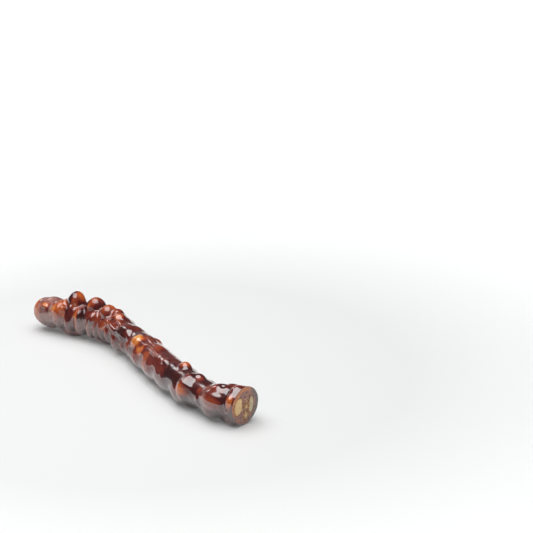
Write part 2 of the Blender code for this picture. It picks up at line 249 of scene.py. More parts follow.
# Jelly skin
skin = {
    "rings": 372,
    "sides": 192,
    "tipRings": 16,
    "rimRound": 0.55,       # mm, edge of the cut
    "rimRings": 5,
    "faceRings": 34,
    "faceRelief": 0.16,     # mm, unevenness of the cut
    "glowFrom": (55.0, 3.0),    # side of the cut that light shines into, in degrees, and how deep in mm
    "clearFrom": (186.0, 3.0),  # side on which the cut is bare jelly, and how deep in mm
    "ripple": 0.12,         # mm, slow unevenness of the gloss
    "rippleLong": 8.0,
    "rippleRound": 5.0,
    "fine": 0.022,          # mm, and the size of those dimples
    "fineSize": 1.9,
    "meanRadius": 10.5,     # mm, turns angles around into lengths on the skin
    "filmDulls": 0.6,       # how much the film weakens the gloss
}
# Folds and drips of the skin: from (along, around) to (along, around), height and half width in mm
folds = [
    (62, 46, 84, 29, 0.5, 1.1), (70, 66, 84, 54, 0.5, 1), (117, 69, 135, 66, 0.8, 1),
    (122, 57, 140, 54, 0.7, 1), (109, 61, 119, 58, 0.4, 0.9), (82, 0, 84, -62, 0.6, 1.6),
    (93, -8, 97, -60, 0.5, 1.7), (110, 6, 116, -50, 0.35, 2), (186, 20, 188, -60, 0.45, 2),
    (172, 24, 176, -44, 0.4, 1.8), (173, 36, 181, 32, 0.6, 1.6), (89, 61, 97, 36, 0.5, 1.5),
    (203, 12, 204, -50, 0.5, 1.6), (96, 74, 110, 80, 0.35, 1), (108, 92, 126, 84, 0.4, 0.9),
    (98, 100, 116, 94, 0.4, 0.9),
]
# Dents, and drops where the depth is below 0: along, around, depth, half width in mm
pits = [
    (207, -2, 1.2, 1.3), (190, 30, 0.5, 0.8), (201, 72, 0.8, 1.6), (153, 66, -0.7, 1.6),
    (137.5, 65, -0.9, 1.1),
]

# Amber where a kernel lies close under the skin, and painted light where the jelly gathers light on the lower
# side of a knob: along, around, strength, half length, half width in mm
lobes = [
    (1.5, 40, 0.95, 4, 16), (4.6, -4, 0.84, 3.6, 11), (11, 42, 0.96, 2.6, 2.6), (10.5, 14, 0.36, 2, 5),
    (22.8, 44, 0.72, 5.6, 8), (26, 28, 0.74, 2.4, 4), (18.6, 34, 0.9, 2.2, 2.8), (24.5, 84, 0.76, 3.2, 4),
    (34, 98, 0.76, 2.8, 3.2), (29, 84, 0.2, 2.4, 5), (29.4, 48, 0.24, 1.4, 7), (33.5, 60, 0.66, 2.6, 3.2),
    (36.5, 18, 0.84, 2.6, 2.6), (41, 26, 0.2, 2.4, 6), (46, 92, 0.66, 3, 4.6), (42, 76, 0.22, 2, 5),
    (50, 14, 0.22, 3.4, 4.4), (49, 34, 0.52, 2.6, 3), (54, 40, 0.6, 3, 6), (60, 96, 0.72, 4.6, 4.4),
    (66, 74, 0.6, 4, 4), (64, 16, 0.66, 3.4, 4.6), (72, 76, 0.74, 3.4, 4), (76, 44, 0.52, 5, 2.6),
    (86, 34, 0.18, 5, 5.4), (84, 88, 0.44, 6, 4), (100, 86, 0.34, 6, 5), (107, 55, 1.1, 4.8, 5.4),
    (107, 43, 0.86, 3, 3.6), (115, 34, 0.86, 4.8, 4.2), (113, 62, 0.44, 3, 4), (127, 76, 0.6, 4.6, 4),
    (126, 32, 0.68, 4.2, 4), (134, 24, 0.5, 4, 3.6), (144, 30, 0.46, 4, 4), (161, 102, 0.8, 3.8, 4.4),
    (157, 30, 0.14, 4, 6), (174, 12, 0.8, 5.4, 4), (170, 44, 0.24, 2.6, 5), (180, 88, 0.58, 2.8, 3.2),
    (187, 40, 0.56, 2, 3.6), (198, 18, 0.62, 5, 2.2), (200, 74, 0.28, 2.6, 2.6), (205, 40, 0.24, 1.6, 9),
    (210, 26, 0.84, 2.4, 4), (208, 96, 0.66, 3, 3.6), (191, 66, 0.6, 2.2, 3),
]
# Colour of the jelly between the lobes: along, level; and how much height, slope, the underside and noise
# change it. Height paints shade into the creases and keeps the crests lighter; slope paints light on the side
# of each knob towards the far end and shade on the side towards the cut
amberLevel = [(0, 0.6), (30, 0.5), (60, 0.52), (90, 0.44), (110, 0.54), (145, 0.56), (156, 0.36), (180, 0.38),
              (200, 0.42), (213, 0.5)]
amberForm = {"creaseShadePerHeight": 0.085, "heightMiddle": 1.3, "sideLightPerSlope": 0.15, "below": 0.13,
             "patches": 0.13, "flecks": 0.07}
# Amber of the unseen knobs, from a random draw for each: furthest off its knob in mm and degrees, strength,
# half length and half width in mm
farAmber = {"seed": 23, "along": 3.5, "turn": 22.0, "strength": (0.12, 0.78), "halfLength": (2.2, 5.2),
            "halfWidth": (2.0, 5.0)}
# Pale film: partly a floury matte film on the jelly, partly painted reflection of the pale floor on the lower
# side: along, around, strength, half length, half width in mm
filmsAndPaintedReflections = [
    (7, 24, 0.55, 1.5, 12), (16, 14, 0.6, 1.6, 14), (12, 84, 0.48, 9.5, 5), (3, 70, 0.45, 2, 5),
    (10, -8, 0.62, 9, 6.5), (4, 2, 0.45, 3.6, 9), (24, -14, 0.35, 5, 5), (47, -14, 0.42, 15, 6),
    (84, -40, 0.3, 4, 6), (192, 8, 0.4, 2.6, 7), (206, -16, 0.3, 3, 5), (205.5, 8, 0.6, 1, 1.2),
]
# Thin gloss: along, around, how much weaker, half length, half width in mm
dullPlaces = [
    (5, 0, 0.6, 4, 12), (25.5, 22, 0.8, 3.4, 4.6), (10, 58, 0.45, 9, 12), (21.5, 50, 0.65, 4.6, 7),
    (178, 16, 0.75, 5, 3.6), (161, 98, 0.35, 4.5, 5), (31, 96, 0.55, 6, 7), (42, 62, 0.65, 12, 9),
    (46, 90, 0.5, 7, 6), (60, 84, 0.4, 8, 7), (114, 78, 0.3, 26, 6), (105, 5, 0.85, 44, 5),
    (173, 68, 0.5, 5, 4), (110, 122, 0.45, 100, 8),
]


def noiseOfSize(along, across, above, size, seed):
    # value noise with cells of that size in mm
    return smoothNoise(along / size, across / size, above / size, seed)


def arcFrom(around, turn):
    # length round the skin from that angle, angle x mean radius
    return np.radians(turnedFrom(around, turn)) * skin["meanRadius"]


def skinRadius(along, around):
    # coat radius + ripple + a Gaussian ridge per fold - a Gaussian dent per pit
    radius = coatRadius(along, around)
    across, above = crossSection(radius, around)
    warp = smoothNoise(along / 11, across / 8, above / 8, 3) * 1.6
    relief = skin["ripple"] * smoothNoise(along / skin["rippleLong"] + warp, across / skin["rippleRound"],
                                          above / skin["rippleRound"] + warp, 5)
    relief = relief + skin["fine"] * noiseOfSize(along, across, above, skin["fineSize"], 7)
    wander = 0.35 * noiseOfSize(along, across, above, 5, 9)
    for a0, t0, a1, t1, height, width in folds:
        run = np.array([a1 - a0, arcFrom(t1, t0)])
        x, y = along - a0, arcFrom(around, t0)
        share = np.clip((x * run[0] + y * run[1]) / (run @ run), 0, 1)
        away = np.hypot(x - share * run[0], y - share * run[1]) + wander
        relief = relief + height * np.exp(-(away / width) ** 2) * np.sin(np.pi * (0.15 + 0.7 * share))
    for middle, turn, depth, width in pits:
        away = np.hypot(along - middle, np.radians(turnedFrom(around, turn)) * radius)
        relief = relief - depth * np.exp(-(away / width) ** 2)
    inward = np.clip(1 - along / stick["tipLength"], 0, 1)
    return radius + relief * np.sqrt(1 - inward**2)


def amberAt(along, around, radius):
    # level + per height above the core (painted shade in the creases) + per slope along the stick (painted
    # light towards the far end, painted shade towards the cut) - per depth below + noise; then each lobe
    # draws it to its strength x (1 - smooth step of its oval distance), with a wandering outline
    across, above = crossSection(skin["meanRadius"], around)
    wander = 0.22 * noiseOfSize(along, across, above, 3, 11)
    wander = wander + 0.12 * noiseOfSize(along, across, above, 1.1, 12)
    height = radius - np.interp(along, coreAlong, coreRadius) - amberForm["heightMiddle"]
    slope = np.gradient(radius, axis=0) / np.maximum(np.gradient(along, axis=0), 1e-3)
    # painted shade: darker in the creases, lighter on the crests
    amber = np.interp(along, *zip(*amberLevel)) + amberForm["creaseShadePerHeight"] * np.clip(height, -1.5, 2)
    # painted light and shade: lighter on the side of a knob towards the far end, darker towards the cut
    amber = amber + amberForm["sideLightPerSlope"] * np.clip(slope, -1.2, 1.2)
    amber = amber - amberForm["below"] * smoothStep(-0.1, 0.7, -np.sin(np.radians(around)))
    amber = amber + amberForm["patches"] * smoothNoise(along / 7, across / 5, above / 5, 13)
    amber = amber + amberForm["flecks"] * noiseOfSize(along, across, above, 1.6, 14)
    for middle, turn, strength, halfLength, halfWidth in lobes + farLobes:
        away = np.hypot((along - middle) / halfLength, arcFrom(around, turn) / halfWidth)
        amber = amber + (strength - amber) * (1 - smoothStep(0.40, 1.45, away + wander))
    return amber


def patchesAt(places, along, around):
    # largest of the places, each strength x (1 - smooth step of its oval distance), with wandering outlines
    wander = 0.30 * noiseOfSize(along, *crossSection(skin["meanRadius"], around), 2, 15)
    found = np.zeros(along.shape)
    for middle, turn, strength, halfLength, halfWidth in places:
        away = np.hypot((along - middle) / halfLength, arcFrom(around, turn) / halfWidth)
        found = np.maximum(found, strength * (1 - smoothStep(0.2, 1.3, away + wander)))
    return found


def lobesBehind():
    # every far or lower knob gets a lobe of random strength near its crest
    rng = np.random.default_rng(farAmber["seed"])
    found = []
    for middle, turn in knobs[len(nearKnobs):, :2]:
        along = middle + farAmber["along"] * rng.uniform(-1, 1)
        around = turn + farAmber["turn"] * rng.uniform(-1, 1)
        sizes = [rng.uniform(*farAmber[name]) for name in ("strength", "halfLength", "halfWidth")]
        found.append((along, around, *sizes))
    return found


farLobes = lobesBehind()


def rimLight(around, fromRim, side, depth):
    # smooth step of the cosine to that side x (1 - smooth step of the distance from the rim)
    towards = np.cos(np.radians(turnedFrom(around, side)))
    return smoothStep(0.0, 0.8, towards) * (1 - smoothStep(0.35 * depth, depth, fromRim))


def makeSkin():
    # stations: cosine-spaced over the far end, even to the rim, a quarter round, smaller rings on the cut
    rim = skin["rimRound"]
    tip = stick["tipLength"] * (1 - np.cos(np.linspace(0.06, np.pi / 2, skin["tipRings"])))
    body = np.linspace(stick["tipLength"], stickLength - rim, skin["rings"] - skin["tipRings"])[1:]
    turn = np.linspace(0, np.pi / 2, skin["rimRings"] + 1)[1:]
    faceShare = np.linspace(1, 0.04, skin["faceRings"])[1:]
    around = np.arange(skin["sides"]) * 360.0 / skin["sides"]
    along, around = np.broadcast_arrays(np.concatenate([tip, body])[:, None], around[None, :])
    radius = skinRadius(along, around)
    edge, edgeAround = radius[-1:], around[-1:]
    rounded = edge - rim * (1 - np.cos(turn))[:, None]
    roundedAlong = stickLength - rim + rim * np.sin(turn)[:, None] + 0 * edge
    face = rounded[-1:] * faceShare[:, None]
    faceAround = np.broadcast_to(edgeAround, face.shape)
    x, y = crossSection(face, faceAround)
    relief = smoothNoise(x / 1.3, y / 1.3, x * 0, 21) + 0.5 * smoothNoise(x / 0.6, y / 0.6, x * 0, 22)
    faceAlong = stickLength + skin["faceRelief"] * relief * smoothStep(0, 0.12, 1 - faceShare)[:, None]
    radius = np.vstack([radius, rounded, face])
    along = np.vstack([along, roundedAlong, faceAlong])
    around = np.broadcast_to(around[:1], along.shape)
    across, above = crossSection(radius, around)
    points = placeOnLine(along + leanOfCut(along, across, above), across, above)
    points[..., 2] = np.maximum(points[..., 2], 0)
    piece = meshFromGrid("jellyCoat", points, True, True)
    rows = len(tip) + len(body)
    amber = amberAt(along[:rows], around[:rows], radius[:rows])
    amber = np.vstack([amber, np.repeat(amber[-1:], len(along) - rows, axis=0)])
    filmAndPaintedReflection, dull = (patchesAt(places, along, around) for places in (filmsAndPaintedReflections, dullPlaces))
    dull = np.maximum(dull, skin["filmDulls"] * filmAndPaintedReflection)
    onCut = np.zeros(along.shape)
    onCut[rows + 2:] = 1  # from the middle of the rim on
    fromRim = np.zeros(along.shape)
    fromRim[rows + skin["rimRings"]:] = (1 - faceShare)[:, None] * rounded[-1:]
    fromRim = fromRim + 0.5 * smoothNoise(across / 1.4, above / 1.4, across * 0, 24)
    glow, clear = (rimLight(around, fromRim, *skin[side]) for side in ("glowFrom", "clearFrom"))
    kept = {"amber": amber, "onCut": onCut, "glow": glow, "clear": clear, "filmAndPaintedReflection": filmAndPaintedReflection, "dull": dull}
    ends = {"amber": (amber[0].mean(), amber[-1].mean()), "onCut": (0, 1)}
    for name, values in kept.items():
        keepValues(piece, name, np.concatenate([values.ravel(), ends.get(name, (0, 0))]))
    return piece


jellyCoat = makeSkin()
print("jelly skin:", len(jellyCoat.data.polygons), "faces")

# Kernel rows: each a string of kernels in an oval tube, from a rounded start to the cut. Their sizes are
# shares of the room between the line and the skin, at the stations of rowAlong; the cut flesh is painted
# lighter and warmer on the near row, as if lit, and greyer on the far row, as if shaded
rowAlong = [0, 22, 40, 60, 90, 110, 150, 178, 200, 213]
rows = {
    "walnutRowNear": {
        "node": "walnut_row_near", "start": 7.0, "seed": 31, "fleshLitShare": 1.0,
        "turn": [30, 40, 8, 12, 34, 42, 20, 26, 12, 9],
        "halfThickness": [0.37] * 8 + [0.39, 0.40],
        "halfHeight": [0.50] * 8 + [0.56, 0.62],
        "fromMiddle": [0.63] * 10,
    },
    "walnutRowFar": {
        "node": "walnut_row_far", "start": 13.0, "seed": 37, "fleshLitShare": 0.0,
        "turn": [200, 208, 172, 176, 202, 210, 190, 196, 190, 186],
        "halfThickness": [0.37] * 8 + [0.27, 0.24],
        "halfHeight": [0.50] * 8 + [0.56, 0.60],
        "fromMiddle": [0.63] * 8 + [0.54, 0.47],
    },
}
kernel = {
    "jellyOver": 1.5,       # mm of jelly over the kernels
    "pitch": 13.5,          # mm from kernel to kernel
    "neck": 0.74,           # size between two kernels, as a share
    "rings": 260,
    "chipRings": 24,
    "sides": 56,
    "faceRings": 12,
    "wrinkle": 0.22,        # mm, brain-like folds of the kernel's skin
    "lobed": 0.10,          # uneven outline, as a share of the size
    "faceRelief": 0.14,     # mm, broken crumb of the cut flesh
    "proud": 0.30,          # mm that the flesh stands out of the cut
}
pocket = {
    "grow": 0.06,           # mm, gap round a kernel
    "overshoot": 2.5,       # mm past the cut
    "rings": 86,
    "chipRings": 12,
    "sharpAngle": 60,       # degrees, keeps the rims of the pockets crisp
}
chips = {  # broken bits between the rows: across, above, half width, half height, depth
    "walnutChipLow": {
        "node": "walnut_chip_low", "seed": 43, "fleshLitShare": 0.5, "at": (0.0, -5.4, 1.5, 2.3, 8.0),
    },
    "walnutChipHigh": {
        "node": "walnut_chip_high", "seed": 47, "fleshLitShare": 0.5, "at": (-0.5, -0.8, 1.4, 1.7, 6.0),
    },
}


def rowRings(row, along, grow=0.0):
    # oval at each station: middle x room out along its turn, half thickness and half height x size, lobed
    sides = np.arange(kernel["sides"])[None, :] * 2 * np.pi / kernel["sides"]
    along, sides = np.broadcast_arrays(along[:, None], sides)
    beside = np.clip(along, row["start"], stickLength)
    turn = np.interp(beside, rowAlong, row["turn"])
    half = np.interp(beside, rowAlong, row["halfThickness"])
    middle = np.interp(beside, rowAlong, row["fromMiddle"])
    tall = np.interp(beside, rowAlong, row["halfHeight"])
    room = np.min([coatRadius(beside, turn + swing) for swing in (-20, 0, 20)], axis=0) - kernel["jellyOver"]
    wave = np.abs(np.cos(np.pi * (stickLength - beside) / kernel["pitch"]))
    swell = kernel["neck"] + (1 - kernel["neck"]) * wave
    inward = np.clip(1 - (beside - row["start"]) / (0.5 * kernel["pitch"]), 0, 1)
    size = room * swell * np.sqrt(1 - inward**2)
    ox, oy = np.cos(sides), np.sin(sides)
    lobed = smoothNoise(beside / 6, ox * 1.3, oy * 1.3, row["seed"]) * 0.7
    lobed = lobed + smoothNoise(beside / 3, ox * 2.6, oy * 2.6, row["seed"] + 1) * 0.45 - 0.35
    folded = np.abs(smoothNoise(beside / 2.4, ox * 2.4, oy * 2.4, row["seed"] + 2))
    scale = size * (1 + kernel["lobed"] * lobed)
    wrinkle = grow - kernel["wrinkle"] * (1 - folded) * (size > 1)
    outward, sideways = middle * room + (half * scale + wrinkle) * ox, (tall * scale + wrinkle) * oy
    c, s = np.cos(np.radians(turn)), np.sin(np.radians(turn))
    across, above = outward * c - sideways * s, outward * s + sideways * c
    return along, across, above


def chipRings(chip, along, grow=0.0):
    # oval that tapers inwards to a point, with a lobed outline
    cx, cy, halfWidth, halfHeight, depth = chip["at"]
    sides = np.arange(kernel["sides"])[None, :] * 2 * np.pi / kernel["sides"]
    along, sides = np.broadcast_arrays(along[:, None], sides)
    inward = np.clip((stickLength - along) / depth, 0, 1)
    size = np.sqrt(1 - inward**2)
    ox, oy = np.cos(sides), np.sin(sides)
    lobed = 1 + 0.16 * smoothNoise(along / 4, ox * 1.6, oy * 1.6, chip["seed"]) - 0.08
    return along, cx + (halfWidth * size * lobed + grow) * ox, cy + (halfHeight * size * lobed + grow) * oy


def stationsFrom(start, ringCount):
    # from the inner tip to the cut, start + length x (1 - (1 - share)^1.15)
    return start + (stickLength - start) * (1 - (1 - np.linspace(0.002, 1, ringCount)) ** 1.15)


def kernelPiece(name, facts, rings, start, ringCount):
    # rings from the inner tip to the cut, then smaller ones over the broken face, uneven by noise
    along, across, above = rings(facts, stationsFrom(start, ringCount))
    share = np.linspace(1, 0.06, kernel["faceRings"])[1:, None]
    cx, cy = across[-1].mean(), above[-1].mean()
    faceX, faceY = cx + (across[-1:] - cx) * share, cy + (above[-1:] - cy) * share
    crumb = smoothNoise(faceX / 0.9, faceY / 0.9, faceX * 0, facts["seed"] + 5)
    crumb = crumb + 0.6 * smoothNoise(faceX / 0.4, faceY / 0.4, faceX * 0, facts["seed"] + 6)
    crown = smoothStep(0, 0.25, 1 - share)
    faceAlong = stickLength + kernel["proud"] * crown + kernel["faceRelief"] * crumb * crown
    across, above = np.vstack([across, faceX]), np.vstack([above, faceY])
    along = np.vstack([along, faceAlong])
    points = placeOnLine(along + leanOfCut(along, across, above), across, above)
    piece = meshFromGrid(name, points, True, True)
    onFace = np.zeros(along.shape)
    onFace[-len(share):] = 1
    reach = np.hypot(across[ringCount - 1] - cx, above[ringCount - 1] - cy)
    fromEdge = np.zeros(along.shape)
    fromEdge[-len(share):] = (1 - share) * reach[None, :]
    keepValues(piece, "onFace", np.concatenate([onFace.ravel(), [0, 1]]))
    keepValues(piece, "fromEdge", np.concatenate([fromEdge.ravel(), [0, fromEdge[-1].mean()]]))
    keepValues(piece, "fleshLitShare", np.full(onFace.size + 2, facts["fleshLitShare"]))
    return piece


def pocketCutter(name, facts, rings, start, ringCount):
    # the same form grown by the pocket's gap and run out past the cut
    stations = stationsFrom(start, ringCount)
    stations[0] -= pocket["grow"]
    stations = np.append(stations, stickLength + pocket["overshoot"])
    along, across, above = rings(facts, stations, pocket["grow"])
    points = placeOnLine(along + leanOfCut(along, across, above), across, above)
    return meshFromGrid(name, points, True, True)


kernelPieces = {}
cutters = []
for name, facts in rows.items():
    kernelPieces[name] = kernelPiece(name, facts, rowRings, facts["start"], kernel["rings"])
    cutters.append(pocketCutter(name + "Pocket", facts, rowRings, facts["start"], pocket["rings"]))
for name, facts in chips.items():
    innerTip = stickLength - facts["at"][4]
    kernelPieces[name] = kernelPiece(name, facts, chipRings, innerTip, kernel["chipRings"])
    cutters.append(pocketCutter(name + "Pocket", facts, chipRings, innerTip, pocket["chipRings"]))
print("kernels:", {name: len(piece.data.polygons) for name, piece in kernelPieces.items()})

for cutter in cutters:  # open the pockets in the jelly
    cut = jellyCoat.modifiers.new(cutter.name, "BOOLEAN")
    cut.operation = "DIFFERENCE"
    cut.solver = "MANIFOLD"
    cut.object = cutter
graph = bpy.context.evaluated_depsgraph_get()
opened = bpy.data.meshes.new_from_object(jellyCoat.evaluated_get(graph), depsgraph=graph)
jellyCoat.modifiers.clear()
jellyCoat.data = opened
opened.set_sharp_from_angle(angle=math.radians(pocket["sharpAngle"]))
for cutter in cutters:
    bpy.data.objects.remove(cutter)
print("jelly with pockets:", len(opened.polygons), "faces")


# Crumbs in the cut: random places in an oval between the kernels, in mm across and above
crumbs = {
    "seed": 53,
    "count": 190,
    "middle": (0.1, -2.2),
    "reach": (2.7, 6.8),
    "size": (0.10, 0.46),   # mm, radius
    "uneven": 0.55,
}


def makeCrumbs():
    # balls with radius x (1 + noise), squeezed by random shares, sunk in the cut a little past their middles
    rng = np.random.default_rng(crumbs["seed"])
    form = bmesh.new()
    bmesh.ops.create_icosphere(form, subdivisions=2, radius=1.0)
    ball = np.array([v.co for v in form.verts])
    # ahead, across and above are left-handed, so corners are listed the other way round
    sides = np.array([[v.index for v in f.verts] for f in form.faces])[:, ::-1]
    form.free()
    count = crumbs["count"]
    turn, out = rng.uniform(0, 2 * np.pi, count), np.sqrt(rng.uniform(0, 1, count))
    across = crumbs["middle"][0] + crumbs["reach"][0] * out * np.cos(turn)
    above = crumbs["middle"][1] + crumbs["reach"][1] * out * np.sin(turn)
    size = rng.uniform(*crumbs["size"], (count, 1, 1)) * rng.uniform(0.6, 1.4, (count, 1, 3))
    x, y, z = (1.2 * ball[None, :, k] for k in range(3))
    swell = 1 + crumbs["uneven"] * smoothNoise(x + across[:, None] * 9, y, z + above[:, None] * 9, 25)
    points = ball[None] * size * swell[..., None]
    across, above = across[:, None] + points[..., 1], above[:, None] + points[..., 2]
    along = np.full(across.shape, stickLength)
    along = along + leanOfCut(along, across, above) + points[..., 0] - 0.3 * size[..., 0]
    verts = placeOnLine(along, across, above).reshape(-1, 3)
    faces = (sides[None] + np.arange(count)[:, None, None] * len(ball)).reshape(-1, 3)
    piece = pieceOf("walnutCrumbs", verts, faces.tolist())
    isFlesh = smoothStep(0.1, 0.6, rng.uniform(0, 1, count))
    keepValues(piece, "onFace", np.repeat(isFlesh, len(ball)))
    keepValues(piece, "fromEdge", np.repeat(rng.uniform(-0.1, 1.1, count), len(ball)))
    keepValues(piece, "fleshLitShare", np.full(len(verts), 0.5))
    return piece


walnutCrumbs = makeCrumbs()
print("crumbs:", crumbs["count"])


def addNode(tree, kind, **settings):
    made = tree.nodes.new(kind)
    for key, value in settings.items():
        setattr(made, key, value)
    return made


def ramp(tree, source, stops):
    # colour by value, through stops of (place, colour)
    made = tree.nodes.new("ShaderNodeValToRGB")
    while len(made.color_ramp.elements) < len(stops):
        made.color_ramp.elements.new(0.5)
    for element, (place, colour) in zip(made.color_ramp.elements, stops):
        element.position = place
        element.color = (*colour, 1)
    tree.links.new(source, made.inputs[0])
    return made.outputs[0]


def calc(tree, operation, first, second=None):
    # one sum, of numbers or of the outputs of nodes
    made = addNode(tree, "ShaderNodeMath", operation=operation)
    for socket, value in zip(made.inputs, (first, second)):
        if isinstance(value, bpy.types.NodeSocket):
            tree.links.new(value, socket)
        elif value is not None:
            socket.default_value = value
    return made.outputs[0]


def makeMottle():
    # node group shared by both materials: noise on Object coordinates, centred on 0.5; scale is per metre
    group = bpy.data.node_groups.new("mottle", "ShaderNodeTree")
    for name, value in (("Scale", 500.0), ("Detail", 3.0), ("Distortion", 0.0)):
        socket = group.interface.new_socket(name, in_out="INPUT", socket_type="NodeSocketFloat")
        socket.default_value = value
    group.interface.new_socket("Value", in_out="OUTPUT", socket_type="NodeSocketFloat")
    start, end = addNode(group, "NodeGroupInput"), addNode(group, "NodeGroupOutput")
    where, noise = addNode(group, "ShaderNodeTexCoord"), addNode(group, "ShaderNodeTexNoise")
    noise.inputs["Roughness"].default_value = 0.6
    group.links.new(where.outputs["Object"], noise.inputs["Vector"])
    for name in ("Scale", "Detail", "Distortion"):
        group.links.new(start.outputs[name], noise.inputs[name])
    group.links.new(noise.outputs[0], end.inputs["Value"])
    return group


mottle = makeMottle()


def noiseOf(tree, scale, detail=3.0, distortion=0.0):
    made = addNode(tree, "ShaderNodeGroup", node_tree=mottle)
    for name, value in (("Scale", scale), ("Detail", detail), ("Distortion", distortion)):
        made.inputs[name].default_value = value
    return made.outputs[0]


def mixColours(tree, factor, first, second):
    # first x (1 - factor) + second x factor
    made = addNode(tree, "ShaderNodeMix", data_type="RGBA")
    sockets = {0: factor, 6: first, 7: second}
    for index, value in sockets.items():
        if isinstance(value, bpy.types.NodeSocket):
            tree.links.new(value, made.inputs[index])
        elif isinstance(value, tuple):
            made.inputs[index].default_value = (*value, 1)
        else:
            made.inputs[index].default_value = value
    return made.outputs[2]


def addBump(tree, surface, scale, strength, distance):
    # fine relief from the shared noise, distance in metres
    bump = addNode(tree, "ShaderNodeBump")
    bump.inputs["Strength"].default_value = strength
    bump.inputs["Distance"].default_value = distance
    tree.links.new(noiseOf(tree, scale), bump.inputs["Height"])
    tree.links.new(bump.outputs["Normal"], surface.inputs["Normal"])


def newMaterial(name):
    material = bpy.data.materials.new(name)
    material.use_nodes = True
    tree = material.node_tree
    return material, tree, tree.nodes["Principled BSDF"]


def attributeOf(tree, name):
    return addNode(tree, "ShaderNodeAttribute", attribute_name=name).outputs["Fac"]


jellyLook = {
    "amberRamp": [  # from thick jelly to a kernel right under the skin; the value also carries painted shade in the creases and painted light on the knobs
        (0.00, (0.012, 0.004, 0.005)), (0.30, (0.055, 0.007, 0.007)), (0.46, (0.125, 0.015, 0.010)),
        (0.60, (0.220, 0.034, 0.014)), (0.80, (0.440, 0.092, 0.018)), (1.00, (0.640, 0.280, 0.070))],
    "clouds": (420, 0.26),      # noise per metre, and how far it changes the amber
    "filmAndPaintedReflection": (0.40, 0.24, 0.21),
    "roughness": 0.22,
    "cutRougher": 0.3,
    "cutDuller": 0.85,
    "coatRoughness": 0.09,
    "coatIor": 1.95,
    "bump": (900, 0.25, 0.0002),
    "cutPatches": (640, 6, 0.15),
    "cut": [  # from dark to light patches of the cut
        (0.28, (0.085, 0.036, 0.032)), (0.42, (0.22, 0.12, 0.11)), (0.52, (0.38, 0.20, 0.16)),
        (0.62, (0.44, 0.15, 0.07)), (0.76, (0.62, 0.33, 0.16))],
    "glow": [(0.35, (0.42, 0.13, 0.07)), (0.55, (0.62, 0.24, 0.10)), (0.70, (0.74, 0.40, 0.22))],
    "clear": (0.19, 0.155, 0.148),
}


def jellyMaterial():
    # skin: ramp of amber + clouds, mixed with the pale film, which is partly painted reflection; cut: ramp of
    # patches, mixed with glow and clear rim; the gloss of the coat is 1 - the larger of the cut's dullness
    # and the skin's
    material, tree, surface = newMaterial("grapeJelly")
    scale, share = jellyLook["clouds"]
    cloud = calc(tree, "MULTIPLY", calc(tree, "SUBTRACT", noiseOf(tree, scale, 4, 0.3), 0.5), share)
    amber = calc(tree, "ADD", attributeOf(tree, "amber"), cloud)
    skinColour = ramp(tree, amber, jellyLook["amberRamp"])
    # painted reflection: the pale film colour partly stands in for the floor's reflection on the lower side
    skinColour = mixColours(tree, attributeOf(tree, "filmAndPaintedReflection"), skinColour, jellyLook["filmAndPaintedReflection"])
    onCut = attributeOf(tree, "onCut")
    patch = noiseOf(tree, *jellyLook["cutPatches"])
    mottled = mixColours(tree, attributeOf(tree, "glow"), ramp(tree, patch, jellyLook["cut"]),
                         ramp(tree, patch, jellyLook["glow"]))
    cutColour = mixColours(tree, attributeOf(tree, "clear"), mottled, jellyLook["clear"])
    tree.links.new(mixColours(tree, onCut, skinColour, cutColour), surface.inputs["Base Color"])
    dull = calc(tree, "MULTIPLY", onCut, jellyLook["cutDuller"])
    dull = calc(tree, "MAXIMUM", dull, attributeOf(tree, "dull"))
    tree.links.new(calc(tree, "SUBTRACT", 1.0, dull), surface.inputs["Coat Weight"])
    rougher = calc(tree, "MULTIPLY", onCut, jellyLook["cutRougher"])
    tree.links.new(calc(tree, "ADD", jellyLook["roughness"], rougher), surface.inputs["Roughness"])
    surface.inputs["Coat Roughness"].default_value = jellyLook["coatRoughness"]
    surface.inputs["Coat IOR"].default_value = jellyLook["coatIor"]
    addBump(tree, surface, *jellyLook["bump"])
    return material


walnutLook = {
    # painted light and shade: one flesh in a shaded, greyer copy and a lit, warmer copy
    "shadedFlesh": [(0.30, (0.50, 0.41, 0.24)), (0.50, (0.66, 0.56, 0.36)), (0.72, (0.74, 0.67, 0.48))],
    "litFlesh": [(0.30, (0.72, 0.46, 0.20)), (0.50, (0.88, 0.60, 0.29)), (0.72, (0.94, 0.71, 0.41))],
    "skin": [(0.35, (0.14, 0.05, 0.018)), (0.65, (0.32, 0.14, 0.05))],
    "fleshPatches": (900, 4, 0.4),  # noise per metre, its detail and distortion
    "skinPatches": (700, 4, 0.4),
    "soaked": (0.56, 0.25, 0.085),  # rim of the cut flesh
    "soakedEdge": (1500, 1.6, 0.75),    # noise per metre, how far it moves the rim in mm, and share per mm
    "roughness": 0.6,
    "bump": (2600, 0.5, 0.0003),
}


